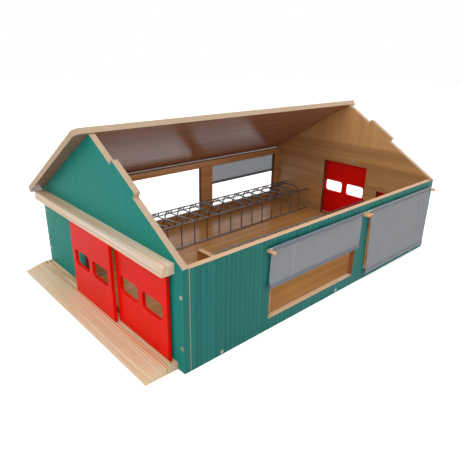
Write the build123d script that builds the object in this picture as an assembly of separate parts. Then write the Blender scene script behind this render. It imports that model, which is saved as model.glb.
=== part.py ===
from build123d import *
import math
import os

# Toy barn, 1:32. Every piece is drawn in millimetres from the shell's corner:
# x runs from the sliding-door gable to the far gable, y from the curtained front
# wall to the back wall, z up from the ground. export_piece then shifts it so that
# the origin is the middle of the footprint, on the ground.

# Thin round stock repeats hundreds of times, so it is drawn with a few flats.
wire_sides = 8
dowel_sides = 16
bend_chords = 3

# Shell
barn_length = 600.0
barn_width = 400.0
board = 9.0
roof_pitch = 31.24
eave_height = 141.0
wall_height = 140.0
contact_gap = 0.3
cut_past = 1.0

# Key tabs on the gables, measured down the slope from the apex
tab_start = 60.0
tab_end = 120.0
tab_height = 8.0
tab_corner = 2.0
slot_clearance = 0.6

# Roof panel, measured down the slope from the apex
roof_ridge_end = -2.0
roof_eave_end = 240.0
roof_overhang_door_end = 20.0
roof_overhang_far_end = 16.0
roof_ridge_corner = 10.0
roof_eave_corner = 7.0

# Doorways: first and last y, then bottom and top z
door_gable_doorway = (33.5, 253.5, board, 128.0)
far_main_doorway = (140.0, 250.0, board, 136.0)
far_small_doorway = (58.0, 110.7, board, 92.3)

# Windows: first and last x, then bottom and top z
front_windows = [(145.0, 349.0, 18.0, 127.0), (382.0, 586.0, 18.0, 127.0)]
back_windows = [(136.0, 340.0, 30.0, 127.0), (372.0, 576.0, 30.0, 127.0)]

# Sliding doors
door_thickness = 5.0
door_width = 120.0
door_bottom = 7.0
door_corner = 1.0
inner_track = 1.5
outer_track = 9.0
door_window_width = 44.5
door_window_height = 25.0
door_window_corner = 6.0
door_window_drop = 49.2
door_window_margin = 10.0
left_door_start = 144.8
right_door_start = 23.8
far_large_door_start = 138.75
far_small_door = (53.0, 115.0)
near_door_top = 134.0
far_large_door_top = 138.0
far_small_door_top = 94.0

# Rails over the doors and ramps under them: first and last y of each
door_rail_span = (15.0, 385.0)
far_rail_span = (28.0, 385.0)
small_rail_span = (14.0, 120.0)
door_ramp_span = (14.0, 399.0)
far_ramp_span = (20.0, 399.0)
rail_depth = 18.0
rail_height = 13.0
small_rail_depth = 10.0
rail_overlap = 3.0
groove_width = 5.6
groove_stop = 4.0
open_end = -cut_past
rail_groove_depth = 6.0
ramp_reach = 47.0
ramp_height = 10.0
ramp_flat = 14.5
ramp_lip = 1.2
ramp_groove_depth = 3.0

# Curtain pegs and curtains
peg_radius = 2.5
peg_height = 124.5
peg_proud = 12.5
peg_depth = 7.0
front_pegs = [138.0, 359.0, 367.0, 587.0]
back_pegs = [128.0, 350.0, 361.0, 586.5]
rod_radius = 1.0
hem_radius = 2.0
roll_radius = 3.0
cloth_thickness = 1.0
cloth_off_wall = 4.0
rod_past_peg = 2.5
bar_past_cloth = 1.5
front_left_cloth = (144.0, 351.5)
front_right_cloth = (378.0, 583.5)
back_right_cloth = (370.5, 577.5)
front_right_sway = 6.5
front_left_roll = 71.5
front_right_bar = 11.5
back_right_roll = 83.5

# Wire fences
wire_radius = 1.3
seat_clearance = 0.05
seat_depth = 3.0
weld = 0.4
fence_y = 290.0
fence_bottom = board + wire_radius
fence_top = 57.5
fence_first_post = 20.5
fence_post_pitch = 31.6
fence_posts = 18
divider_first = 38.8
divider_pitch = 31.55
divider_count = 18
divider_foot = (387.5, board - seat_depth)
divider_seat_run = 6.0
divider_shoulder = (365.5, 59.5)
divider_tip_top = (312.0, 60.5)
divider_tip_bottom = (312.0, 46.5)
divider_tail = (372.9, 41.0)
divider_shoulder_bend = 7.0
divider_tip_bend = 6.5
head_rail_upper = (360.0, 61.9)
head_rail_lower = (363.2, 54.5)
head_link_offset = 9.0
pen_rail_y = 136.5
pen_rail_height = 65.5
pen_first_post = 187.3
pen_post_pitch = 29.6
pen_posts = 14
pen_end_post = 587.5
partition_x = 149.0
partition_reach = 164.0
partition_height = 66.0

# Countersunk screws
screw_radius = 1.4
screw_head_radius = 2.8
screw_head_depth = 1.5
long_screw = 25.0
rail_screw = 19.0
corner_screw_heights = [34.6, 104.3]
foot_screw_spacing = 246.2
foot_screws_per_wall = 3
foot_screw_first = 59.5
rail_screw_y = 175.5
small_rail_screw_y = 101.5

pitch = math.radians(roof_pitch)
apex_height = eave_height + barn_width / 2 * math.tan(pitch)


def export_piece(name, shape):
    """Shifts a piece to the barn's own origin and writes it."""
    moved = Pos(-barn_length / 2, -barn_width / 2, 0) * shape
    solids = moved.solids()
    whole = solids[0] if len(solids) == 1 else Compound(children=solids)
    export_step(whole, f"parts/{name}.step")


def block(x_span, y_span, z_span):
    """A box between two corners, given as one span along each axis."""
    spans = (x_span, y_span, z_span)
    size = [high - low for low, high in spans]
    middle = [(high + low) / 2 for low, high in spans]
    return Pos(*middle) * Box(*size)


def rod(start, end, radius, sides=wire_sides):
    """Straight round stock between two points."""
    path = Line(start, end)
    return extrude(Plane(origin=start, z_dir=path % 0) * RegularPolygon(radius, sides), path.length)


def slope_point(distance, side):
    """A point (y, z) on a gable's slope, down from the apex. side is 1 for the back slope."""
    y = barn_width / 2 + side * distance * math.cos(pitch)
    return y, apex_height - distance * math.sin(pitch)


def screw_form(length, grow=0.0):
    """A countersunk screw with its flush head at the origin, pointing down. grow makes its seat."""
    head = RegularPolygon(screw_head_radius + grow, wire_sides)
    shank = RegularPolygon(screw_radius + grow, wire_sides)
    neck = -screw_head_depth - grow
    cone = loft([head, Pos(0, 0, neck) * shank])
    return cone + extrude(Pos(0, 0, neck) * shank, -(length + neck + 2 * grow))


def screws_at(places, direction, length, grow=0.0):
    """Screws with their heads at the given places, driven in along direction."""
    backwards = tuple(-part for part in direction)
    return [Plane(origin=place, z_dir=backwards) * screw_form(length, grow) for place in places]


def corner_screw_places(x):
    ys = (board / 2, barn_width - board / 2)
    return [(x, y, z) for y in ys for z in corner_screw_heights]


def foot_screw_places(y):
    return [(foot_screw_first + i * foot_screw_spacing, y, board / 2) for i in range(foot_screws_per_wall)]


near_rail_bottom = near_door_top - rail_overlap
far_rail_bottom = far_large_door_top - rail_overlap
small_rail_bottom = far_small_door_top - rail_overlap


def rail_screw_height(bottom):
    """Halfway up the solid wood over a rail's grooves."""
    return bottom + (rail_groove_depth + rail_height) / 2


near_rail_screws = [(board, rail_screw_y, rail_screw_height(near_rail_bottom))]
far_rail_screws = [
    (barn_length - board, rail_screw_y, rail_screw_height(far_rail_bottom)),
    (barn_length - board, small_rail_screw_y, rail_screw_height(small_rail_bottom)),
]
INTO_FAR = (1, 0, 0)
INTO_NEAR = (-1, 0, 0)
INTO_BACK = (0, 1, 0)
INTO_FRONT = (0, -1, 0)


def corner_screws(grow=0.0):
    near = screws_at(corner_screw_places(0), INTO_FAR, long_screw, grow)
    return near + screws_at(corner_screw_places(barn_length), INTO_NEAR, long_screw, grow)


def foot_screws(grow=0.0):
    front = screws_at(foot_screw_places(0), INTO_BACK, long_screw, grow)
    return front + screws_at(foot_screw_places(barn_width), INTO_FRONT, long_screw, grow)


def rail_screws(grow=0.0):
    near = screws_at(near_rail_screws, INTO_NEAR, rail_screw, grow)
    return near + screws_at(far_rail_screws, INTO_FAR, rail_screw, grow)


def wire_ends():
    """Blind seats in the gables, the partition and the floor that catch the fence wires."""
    radius = wire_radius + seat_clearance
    low = board - seat_depth - seat_clearance
    high = barn_length - low
    through = [(fence_y, fence_bottom), (fence_y, fence_top), head_rail_upper, head_rail_lower]
    seats = [rod((low, y, z), (high, y, z), radius) for y, z in through]
    pen_low = partition_x + board - seat_depth - seat_clearance
    seats.append(rod((pen_low, pen_rail_y, pen_rail_height), (high, pen_rail_y, pen_rail_height), radius))
    return seats


def foot_seats():
    """Blind holes in the floor board under the pen posts and the dividers' feet."""
    radius = wire_radius + seat_clearance
    low = board - seat_depth - seat_clearance
    seats = [rod((x, pen_rail_y, low), (x, pen_rail_y, board + cut_past), radius) for x in pen_post_places()]
    y, z = divider_foot
    lean_y, lean_z = divider_shoulder
    slant = math.hypot(lean_y - y, lean_z - z)
    down = ((lean_y - y) / slant, (lean_z - z) / slant)
    for x in divider_places():
        start = (x, y - seat_clearance * down[0], z - seat_clearance * down[1])
        end = (x, y + divider_seat_run * down[0], z + divider_seat_run * down[1])
        seats.append(rod(start, end, radius))
    return seats


def gable(inner_x, doorways):
    """A gable board: pitched outline, a key tab on each slope and its doorways."""
    corners = [(0, 0), (barn_width, 0), (barn_width, eave_height), (barn_width / 2, apex_height)]
    outline = make_face(Polyline(*corners, (0, eave_height), close=True))
    for side in (-1, 1):
        middle = slope_point((tab_start + tab_end) / 2, side)
        tab = RectangleRounded(tab_end - tab_start, 2 * tab_height, tab_corner)
        outline += Pos(*middle) * Rot(0, 0, -side * roof_pitch) * tab
    for y_low, y_high, z_low, z_high in doorways:
        hole = Rectangle(y_high - y_low, z_high - z_low)
        outline -= Pos((y_low + y_high) / 2, (z_low + z_high) / 2) * hole
    return extrude(Plane.YZ.offset(inner_x) * outline, board)


def door_gable():
    board_shape = gable(0, [door_gable_doorway])
    return board_shape - corner_screws(seat_clearance) - rail_screws(seat_clearance) - wire_ends()


def far_gable():
    board_shape = gable(barn_length - board, [far_main_doorway, far_small_doorway])
    return board_shape - corner_screws(seat_clearance) - rail_screws(seat_clearance) - wire_ends()


def peg_holes(places, face_y, inward):
    """Blind holes for the curtain pegs in a wall's outer face."""
    radius = peg_radius + seat_clearance
    deep = face_y + inward * (peg_depth + seat_clearance)
    return [rod((x, face_y, peg_height), (x, deep, peg_height), radius, dowel_sides) for x in places]


def wall_span():
    return board, barn_length - board


def window_cuts(windows, y_span):
    return [block((x0, x1), y_span, (z0, z1)) for x0, x1, z0, z1 in windows]


def long_wall(y_span, windows, pegs_at, face_y, inward):
    """A long wall, square along its top, with its windows, peg holes and screw seats."""
    wall = block(wall_span(), y_span, (0, wall_height))
    wall -= window_cuts(windows, (y_span[0] - cut_past, y_span[1] + cut_past))
    wall -= peg_holes(pegs_at, face_y, inward)
    return wall - corner_screws(seat_clearance) - foot_screws(seat_clearance)


def front_wall():
    return long_wall((0, board), front_windows, front_pegs, 0, 1)


def back_wall():
    return long_wall((barn_width - board, barn_width), back_windows, back_pegs, barn_width, -1)


def floor_board():
    floor = block(wall_span(), (board, barn_width - board), (0, board))
    return floor - foot_screws(seat_clearance) - foot_seats()


def roof_panel():
    """The back half of the roof: a rounded board with a slot over each gable's key tab."""
    low_x = -roof_overhang_door_end
    high_x = barn_length + roof_overhang_far_end
    length = high_x - low_x
    drop = roof_eave_end - roof_ridge_end
    middle_s = (roof_eave_end + roof_ridge_end) / 2
    y, z = slope_point(middle_s, 1)
    underside = Plane(origin=((low_x + high_x) / 2, y, z), x_dir=(1, 0, 0), z_dir=roof_normal())
    outline = Rectangle(length, drop)
    outline = fillet(outline.vertices().sort_by(Axis.Y)[:2], roof_ridge_corner)
    outline = fillet(outline.vertices().sort_by(Axis.Y)[-2:], roof_eave_corner)
    slot = Rectangle(board + 2 * slot_clearance, tab_end - tab_start + 2 * slot_clearance)
    slot_s = (tab_start + tab_end) / 2 - middle_s
    for x in (board / 2, barn_length - board / 2):
        outline -= Pos(x - (low_x + high_x) / 2, slot_s) * slot
    return extrude(underside * outline, board)


def roof_normal():
    return 0, math.sin(pitch), math.cos(pitch)


def tracks(side, shift):
    """The x span of a groove round a door on a track, outside the near (-1) or far (1) gable."""
    face = 0.0 if side < 0 else barn_length
    middle = face + side * (shift + door_thickness / 2)
    return middle - groove_width / 2, middle + groove_width / 2


def rail(side, depth, bottom, y_span, shifts):
    """A pine rail with stopped grooves underneath that hold the tops of the doors."""
    face = 0.0 if side < 0 else barn_length
    x_span = sorted((face, face + side * depth))
    beam = block(x_span, y_span, (bottom, bottom + rail_height))
    groove_span = (y_span[0] + groove_stop, y_span[1] - groove_stop)
    for shift in shifts:
        beam -= block(tracks(side, shift), groove_span, (bottom - cut_past, bottom + rail_groove_depth))
    return beam - rail_screws(seat_clearance)


def ramp(side, y_span, first_stop):
    """A pine ramp: a flat with two grooves, stopped short of its ends, then a slope down to a thin lip."""
    face = 0.0 if side < 0 else barn_length
    section = Polyline(
        (face, 0),
        (face + side * ramp_reach, 0),
        (face + side * ramp_reach, ramp_lip),
        (face + side * ramp_flat, ramp_height),
        (face, ramp_height),
        close=True,
    )
    y_low, y_high = y_span
    wedge = extrude(Plane.XZ.offset(-y_high) * make_face(section), y_high - y_low)
    groove_span = (y_low + first_stop, y_high - groove_stop)
    groove_depth = (ramp_height - ramp_groove_depth, ramp_height + cut_past)
    for shift in (inner_track, outer_track):
        wedge -= block(tracks(side, shift), groove_span, groove_depth)
    return wedge


def door(side, shift, y_span, top, windows):
    """A sliding door panel with a row of rounded windows."""
    y_low, y_high = y_span
    width = y_high - y_low
    middle_z = (door_bottom + top) / 2
    panel = RectangleRounded(width, top - door_bottom, door_corner)
    gap = (width - 2 * door_window_margin - windows * door_window_width) / max(windows - 1, 1)
    for i in range(windows):
        y = -width / 2 + door_window_margin + door_window_width / 2 + i * (door_window_width + gap)
        z = top - door_window_drop - door_window_height / 2 - middle_z
        panel -= Pos(y, z) * RectangleRounded(door_window_width, door_window_height, door_window_corner)
    low_x = (0.0 if side < 0 else barn_length) + side * (shift + (door_thickness if side < 0 else 0))
    plane = Plane(origin=(low_x, (y_low + y_high) / 2, middle_z), x_dir=(0, 1, 0), z_dir=(1, 0, 0))
    return extrude(plane * panel, door_thickness)


def pegs(places, face_y, outward):
    """Short dowels that stand out of a wall over its windows."""
    deep = face_y - outward * peg_depth
    tip = face_y + outward * peg_proud
    return [rod((x, deep, peg_height), (x, tip, peg_height), peg_radius, dowel_sides) for x in places]


def curtain(name, pegs_at, cloth_span, y, bar_height, roll, sway=0.0):
    """A curtain: a rod on two pegs, cloth hemmed round it, and a bar in the rolled lower edge.

    sway is how far along the wall the lower edge hangs from straight under the rod.
    """
    rod_height = peg_height + peg_radius + rod_radius
    rod_left, rod_right = pegs_at[0] - rod_past_peg, pegs_at[1] + rod_past_peg
    top_rod = rod((rod_left, y, rod_height), (rod_right, y, rod_height), rod_radius)
    left, right = cloth_span
    hem = rod((left, y, rod_height), (right, y, rod_height), hem_radius, dowel_sides)
    low_left, low_right = left + sway, right + sway
    low = bar_height + roll + contact_gap
    panel = Polyline((left, rod_height), (right, rod_height), (low_right, low), (low_left, low), close=True)
    back_face = Plane.XZ.offset(-y - cloth_thickness / 2)
    cloth = hem + extrude(back_face * make_face(panel), cloth_thickness)
    bar_ends = (low_left - bar_past_cloth, y, bar_height), (low_right + bar_past_cloth, y, bar_height)
    bar = rod(*bar_ends, rod_radius)
    rolled = rod((low_left, y, bar_height), (low_right, y, bar_height), roll, dowel_sides)
    export_piece(f"{name}_curtain_top_rod", top_rod)
    export_piece(f"{name}_curtain", cloth - top_rod)
    export_piece(f"{name}_curtain_roll", rolled - bar)
    export_piece(f"{name}_curtain_bar", bar)


def pen_post_places():
    return [pen_first_post + i * pen_post_pitch for i in range(pen_posts)] + [pen_end_post]


def divider_places():
    return [divider_first + i * divider_pitch for i in range(divider_count)]


def long_wire(y, z, start=board - seat_depth):
    return rod((start, y, z), (barn_length - board + seat_depth, y, z), wire_radius)


def cubicle_fence():
    """Two rails that run from gable to gable, and the posts welded between them."""
    rails = [long_wire(fence_y, fence_bottom), long_wire(fence_y, fence_top)]
    low = fence_bottom + wire_radius - weld
    high = fence_top - wire_radius + weld
    xs = [fence_first_post + i * fence_post_pitch for i in range(fence_posts)]
    return rails, [rod((x, fence_y, low), (x, fence_y, high), wire_radius) for x in xs]


def divider():
    """One cubicle divider, bent from a single wire: leg, shoulder, arm, return bend, lower arm."""
    points = [divider_foot, divider_shoulder, divider_tip_top, divider_tip_bottom, divider_tail]
    radii = [divider_shoulder_bend, divider_tip_bend, divider_tip_bend]
    line = FilletPolyline(*[(0, y, z) for y, z in points], radius=radii)
    chords = [line @ 0]
    for edge in line.edges():
        steps = bend_chords if edge.geom_type == GeomType.CIRCLE else 1
        chords += [edge @ ((i + 1) / steps) for i in range(steps)]
    path = Polyline(*chords)
    section = Plane(origin=path @ 0, z_dir=path % 0) * RegularPolygon(wire_radius, wire_sides)
    return sweep(section, path=path, transition=Transition.RIGHT)


def head_links():
    """Short uprights that join the twin head rails beside each divider."""
    (upper_y, upper_z), (lower_y, lower_z) = head_rail_upper, head_rail_lower
    trim = (wire_radius - weld) / math.hypot(upper_y - lower_y, upper_z - lower_z)
    dy, dz = (upper_y - lower_y) * trim, (upper_z - lower_z) * trim
    links = []
    for x in divider_places():
        start = (x + head_link_offset, lower_y + dy, lower_z + dz)
        end = (x + head_link_offset, upper_y - dy, upper_z - dz)
        links.append(rod(start, end, wire_radius))
    return links


def pen_fence():
    """A single rail from the partition to the far gable on a row of posts let into the floor."""
    start = partition_x + board - seat_depth
    top = pen_rail_height - wire_radius + weld
    low = board - seat_depth
    posts = [rod((x, pen_rail_y, low), (x, pen_rail_y, top), wire_radius) for x in pen_post_places()]
    return long_wire(pen_rail_y, pen_rail_height, start), posts


def pen_partition():
    plank = block((partition_x, partition_x + board), (board, partition_reach), (board, partition_height))
    return plank - wire_ends()


def main():
    os.makedirs("parts", exist_ok=True)
    near, far = -1, 1
    both_tracks = (inner_track, outer_track)

    export_piece("floor_board", floor_board())
    export_piece("door_gable", door_gable())
    export_piece("far_gable", far_gable())
    export_piece("front_wall", front_wall())
    export_piece("back_wall", back_wall())
    export_piece("roof_panel", roof_panel())

    export_piece("door_rail", rail(near, rail_depth, near_rail_bottom, door_rail_span, both_tracks))
    export_piece("door_ramp", ramp(near, door_ramp_span, groove_stop))
    left_span = (left_door_start, left_door_start + door_width)
    right_span = (right_door_start, right_door_start + door_width)
    export_piece("left_door", door(near, outer_track, left_span, near_door_top, 2))
    export_piece("right_door", door(near, inner_track, right_span, near_door_top, 2))

    export_piece("far_door_rail", rail(far, rail_depth, far_rail_bottom, far_rail_span, both_tracks))
    export_piece("far_ramp", ramp(far, far_ramp_span, open_end))
    large_span = (far_large_door_start, far_large_door_start + door_width)
    export_piece("far_large_door", door(far, inner_track, large_span, far_large_door_top, 2))
    small_rail = rail(far, small_rail_depth, small_rail_bottom, small_rail_span, (inner_track,))
    export_piece("far_small_door_rail", small_rail)
    export_piece("far_small_door", door(far, inner_track, far_small_door, far_small_door_top, 0))

    export_piece("front_curtain_pegs", Compound(children=pegs(front_pegs, 0, -1)))
    export_piece("back_curtain_pegs", Compound(children=pegs(back_pegs, barn_width, 1)))
    front_y = -cloth_off_wall
    back_y = barn_width + cloth_off_wall
    curtain("front_left", front_pegs[:2], front_left_cloth, front_y, front_left_roll, roll_radius)
    hanging = (front_y, front_right_bar, hem_radius, front_right_sway)
    curtain("front_right", front_pegs[2:], front_right_cloth, *hanging)
    curtain("back_right", back_pegs[2:], back_right_cloth, back_y, back_right_roll, roll_radius)

    fence_rails, posts = cubicle_fence()
    export_piece("cubicle_fence_rails", Compound(children=fence_rails))
    export_piece("cubicle_fence_posts", Compound(children=posts))
    one_divider = divider()
    dividers = [Pos(x, 0, 0) * one_divider for x in divider_places()]
    export_piece("cubicle_dividers", Compound(children=dividers))
    head_rails = [long_wire(*head_rail_upper), long_wire(*head_rail_lower)]
    export_piece("head_rails", Compound(children=head_rails))
    export_piece("head_rail_links", Compound(children=head_links()))
    pen_rail, pen_post_rods = pen_fence()
    export_piece("pen_fence_rail", pen_rail)
    export_piece("pen_fence_posts", Compound(children=pen_post_rods))
    export_piece("pen_partition", pen_partition())

    export_piece("gable_corner_screws", Compound(children=corner_screws()))
    export_piece("wall_foot_screws", Compound(children=foot_screws()))
    export_piece("rail_screws", Compound(children=rail_screws()))


main()
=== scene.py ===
import math
import bmesh
import bpy
from bpy.props import FloatProperty, FloatVectorProperty, PointerProperty
from mathutils import Matrix, Vector


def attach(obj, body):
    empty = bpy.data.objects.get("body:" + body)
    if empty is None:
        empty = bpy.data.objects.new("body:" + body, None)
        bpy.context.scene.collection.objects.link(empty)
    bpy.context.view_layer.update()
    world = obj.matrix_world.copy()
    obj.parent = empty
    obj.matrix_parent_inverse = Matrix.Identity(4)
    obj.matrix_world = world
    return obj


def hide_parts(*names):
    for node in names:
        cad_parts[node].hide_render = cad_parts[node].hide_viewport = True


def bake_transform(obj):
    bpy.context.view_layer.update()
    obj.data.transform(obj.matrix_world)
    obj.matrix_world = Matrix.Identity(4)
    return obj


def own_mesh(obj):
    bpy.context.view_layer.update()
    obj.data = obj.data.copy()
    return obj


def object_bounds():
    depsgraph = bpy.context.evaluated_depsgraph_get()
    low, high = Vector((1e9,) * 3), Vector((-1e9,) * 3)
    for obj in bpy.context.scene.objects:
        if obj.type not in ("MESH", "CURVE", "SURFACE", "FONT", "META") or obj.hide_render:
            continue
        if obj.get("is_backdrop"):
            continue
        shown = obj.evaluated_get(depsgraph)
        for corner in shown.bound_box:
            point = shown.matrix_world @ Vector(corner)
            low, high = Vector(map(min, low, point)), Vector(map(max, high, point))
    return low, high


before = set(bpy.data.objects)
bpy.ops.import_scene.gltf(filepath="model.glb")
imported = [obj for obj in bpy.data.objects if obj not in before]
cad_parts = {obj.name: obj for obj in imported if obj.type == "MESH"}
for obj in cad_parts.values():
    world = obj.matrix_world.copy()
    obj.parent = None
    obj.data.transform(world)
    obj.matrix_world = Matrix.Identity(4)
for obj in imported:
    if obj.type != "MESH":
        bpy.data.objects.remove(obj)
cad_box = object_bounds()

bl_info = {
    "name": "Toy barn with sliding doors",
    "version": (1, 0, 0),
    "blender": (4, 5, 0),
    "location": "View3D > Sidebar > Toy barn",
    "description": "Dresses the packed toy barn: boards, rails, doors, wire fences and curtains",
    "category": "Object",
}

MM = 0.001
TURN = math.tau
X, Y, Z = Vector((1, 0, 0)), Vector((0, 1, 0)), Vector((0, 0, 1))

# The barn's shell, in millimetres from its front corner at the sliding-door gable
SHELL_LENGTH, SHELL_WIDTH, BOARD = 600.0, 400.0, 9.0
PITCH = math.radians(31.24)
SHELL_SIDE = 140.0
GRAIN_CHANGE = 181.5

# Curtains: each hangs from a rod on two pegs and is wound up on a bar from below
FRONT_PEGS = (138.0, 359.0, 367.0, 587.0)
BACK_PEGS = (128.0, 350.0, 361.0, 586.5)
PEG_HEIGHT, PEG_RADIUS, PEG_PROUD, PEG_DEEP = 124.5, 2.5, 12.5, 7.0
ROD_HEIGHT, ROD_RADIUS, ROD_PAST_PEG = 128.0, 1.0, 2.5
CLOTH_OFF_WALL, BAR_PAST_CLOTH = 4.0, 1.5
PEG_SIDES, PEG_ROUND, ROD_SIDES, ROD_ROUND = 28, 0.7, 20, 0.25

# The hems round the rods, the roll of cloth, and the cloth's rows and columns
HEM_DEPTH, HEM_SLACK, HEM_TURN_IN, HALF_CLOTH = 6.0, 0.25, 0.8, 0.2
HEM_RADIUS = ROD_RADIUS + HEM_SLACK + HALF_CLOTH
HEM_TURNED = CLOTH_OFF_WALL - 2 * HEM_SLACK
STITCH = CLOTH_OFF_WALL + HEM_SLACK
ROLL_RADIUS, ROLL_PITCH, ROLL_TOP = 2.8, 0.42, 3.5
ROLL_STEPS, HEM_STEPS = 20, 12
ROW_STEP, COLUMN_STEP, TONE_STEP = 3.0, 1.5, 0.3

# Each cloth's and bar's first and last x, and the bar's height at rest
LEFT_CLOTH, LEFT_BAR, LEFT_HEIGHT = (142.0, 351.5), (141.0, 351.5), 71.5
BACK_CLOTH, BACK_BAR, BACK_HEIGHT = (370.5, 581.5), (370.5, 577.5), 83.5
RIGHT_CLOTH, RIGHT_HEIGHT = (378.0, 583.5), 11.5

# How far the right-hand curtain can rise, and how far askew it hangs
RIGHT_RISE, RIGHT_SWAY = 96.0, 6.5

# The left-hand curtain's pressed crease, and how far its lower corner flares
LEFT_CREASE, LEFT_FLARE = 184.0, 2.5

# How much of the hems' look the wound-up cloth and the right-hand curtain's hems have; on the
# roll's curve that look is painted shade.
ROLL_TONE, RIGHT_HEM_TONE = 0.9, 0.3

# Wire fences
FENCE_Y, FENCE_BOTTOM, FENCE_TOP = 290.0, 10.3, 57.5
FENCE_POSTS, FENCE_FIRST, FENCE_PITCH = 18, 20.5, 31.6
DIVIDERS, DIVIDER_FIRST, DIVIDER_PITCH = 18, 38.8, 31.55
DIVIDER_LINE = [(387.5, 6.0), (365.5, 59.5), (312.0, 60.5), (312.0, 46.5), (372.9, 41.0)]
DIVIDER_BENDS = [7.0, 6.5, 6.5]
HEAD_RAILS = [(360.0, 61.9), (363.2, 54.5)]
LINK_OFFSET = 9.0
PEN_Y, PEN_HEIGHT, PEN_START = 136.5, 65.5, 155.0
PEN_POSTS, PEN_FIRST, PEN_PITCH, PEN_END = 14, 187.3, 29.6, 587.5
WIRE_FROM, WIRE_TO = 6.0, 594.0
FLOOR_SEAT = 6.0
RAIL_SIDES, POST_SIDES, BEND_STEPS = 14, 12, 7
BEAD_TO_WIRE = 1.28

# Countersunk screws, with the recess in shares of the head's radius, its mouth and the depth
SCREW_HEAD, SCREW_HEAD_DEPTH, SCREW_SHANK, SCREW_TIP = 2.8, 1.5, 1.4, 0.1
RECESS_ARM, RECESS_FLOOR, RECESS_DEPTH = 0.27, 0.72, 0.7
SHANKS_IN_TAPER = 3
LONG_SCREW, RAIL_SCREW = 25.0, 19.0
CORNER_SCREW_HEIGHTS = (34.6, 104.3)
FOOT_SCREWS = (59.5, 305.7, 551.9)
RAIL_SCREWS = (
    (BOARD, 175.5, 140.5),
    (SHELL_LENGTH - BOARD, 175.5, 144.5),
    (SHELL_LENGTH - BOARD, 101.5, 100.5),
)

# A line of bare board where the front wall meets the gable
RAW_LINE = 0.65

# The longest edge round a screw seat, peg hole or wire seat, none of which is rounded
SEAT_EDGE = 1.7

# The cladding's V grooves
GROOVE_PITCH, GROOVE_WIDTH, GROOVE_DEPTH, GROOVE_FIRST = 8.03, 1.0, 0.2, 15.9

# How nearly a face's normal points along an axis: a flat face, and one with its rounded strip
FACING, LEANING = 0.9, 0.7

# The angles in degrees past which an edge is drawn sharp
BOARD_SHARP, TURNED_SHARP, WIRE_SHARP, SCREW_SHARP = 14, 35, 40, 30

# The camera's place and the point that the lamps face, in metres
CAMERA_PLACE = (-0.5607, -0.5611, 0.3660)
LAMP_TARGET = Vector((0, 0, 0.1))
WHITE = (1, 1, 1, 1)


def at(x, y, z):
    """A point of the shell's millimetres, in the frame's metres."""
    return Vector(((x - SHELL_LENGTH / 2) * MM, (y - SHELL_WIDTH / 2) * MM, z * MM))


def colour(code):
    """A linear colour from six hexadecimal digits."""
    parts = [int(code[i : i + 2], 16) / 255 for i in (0, 2, 4)]
    return [c / 12.92 if c <= 0.04045 else ((c + 0.055) / 1.055) ** 2.4 for c in parts]


# ---- materials


class Value:
    """A socket in a finish, with arithmetic that adds Math nodes."""

    def __init__(self, finish, socket):
        self.finish, self.socket = finish, socket

    def math(self, operation, *parts):
        return self.finish.node("ShaderNodeMath", {"operation": operation}, dict(enumerate(parts)))

    def __add__(self, other):
        return self.math("ADD", self, other)

    def __sub__(self, other):
        return self.math("SUBTRACT", self, other)

    def __rsub__(self, other):
        return self.math("SUBTRACT", other, self)

    def __mul__(self, other):
        return self.math("MULTIPLY", self, other)

    __radd__, __rmul__ = __add__, __mul__

    def __truediv__(self, other):
        return self.math("DIVIDE", self, other)

    def sine(self):
        return self.math("SINE", self)

    def size(self):
        return self.math("ABSOLUTE", self)

    def fraction(self):
        return self.math("FRACT", self)

    def ramp(self, low, high, start=0.0, end=1.0):
        """A smooth step from start to end as the value goes from low to high."""
        return self.finish.node(
            "ShaderNodeMapRange",
            {"interpolation_type": "SMOOTHSTEP"},
            {"Value": self, "From Min": low, "From Max": high, "To Min": start, "To Max": end},
        )

    def stretch(self, x, y, z):
        """A vector scaled along each axis."""
        settings = {"operation": "MULTIPLY"}
        return self.finish.node("ShaderNodeVectorMath", settings, {0: self, 1: (x, y, z)})

    def split(self):
        return [self.finish.node("ShaderNodeSeparateXYZ", {}, {0: self}, out) for out in range(3)]


class Finish:
    """A material while it is being made."""

    def __init__(self, name):
        self.material = bpy.data.materials.new(name)
        self.material.use_nodes = True
        self.tree = self.material.node_tree
        self.tree.nodes.clear()

    def node(self, kind, settings, sockets, out=0):
        """Adds a node, sets it, then fills its sockets with values or links."""
        added = self.tree.nodes.new(kind)
        for key, setting in settings.items():
            setattr(added, key, setting)
        for key, value in sockets.items():
            if isinstance(value, Value):
                self.tree.links.new(value.socket, added.inputs[key])
            else:
                added.inputs[key].default_value = value
        return Value(self, added.outputs[out])

    def place(self):
        return self.node("ShaderNodeTexCoord", {}, {}, "Object")

    def cloud(self, vector, scale, detail=2.0, roughness=0.5, distortion=0.0):
        """Soft noise between 0 and 1."""
        names = "Vector", "Scale", "Detail", "Roughness", "Distortion"
        values = vector, scale, detail, roughness, distortion
        return self.node("ShaderNodeTexNoise", {}, dict(zip(names, values)))

    def mix(self, factor, first, second):
        """A colour between two colours."""
        sockets = {0: factor}
        for key, value in ((6, first), (7, second)):
            sockets[key] = value if isinstance(value, Value) else (*value[:3], 1.0)
        return self.node("ShaderNodeMix", {"data_type": "RGBA"}, sockets, 2)

    def bump(self, height, strength, distance):
        return self.node(
            "ShaderNodeBump", {}, {"Strength": strength, "Distance": distance, "Height": height}
        )

    def surface(self, **inputs):
        """The main shader. Names are its sockets with underscores."""
        sockets = {name.replace("_", " "): value for name, value in inputs.items()}
        return self.node("ShaderNodeBsdfPrincipled", {}, sockets)

    def shown(self, shader):
        """Joins a shader to the output."""
        output = self.tree.nodes.new("ShaderNodeOutputMaterial")
        self.tree.links.new(shader.socket, output.inputs["Surface"])
        return self.material

    def done(self, **inputs):
        return self.shown(self.surface(**inputs))


def along_grain(place, axis, along, across):
    """Coordinates scaled by one number along an axis and another across it, to draw noise out."""
    scales = [across, across, across]
    scales[axis] = along
    return place.stretch(*scales)


def darker(base, share):
    return [c * share for c in base]


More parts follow.
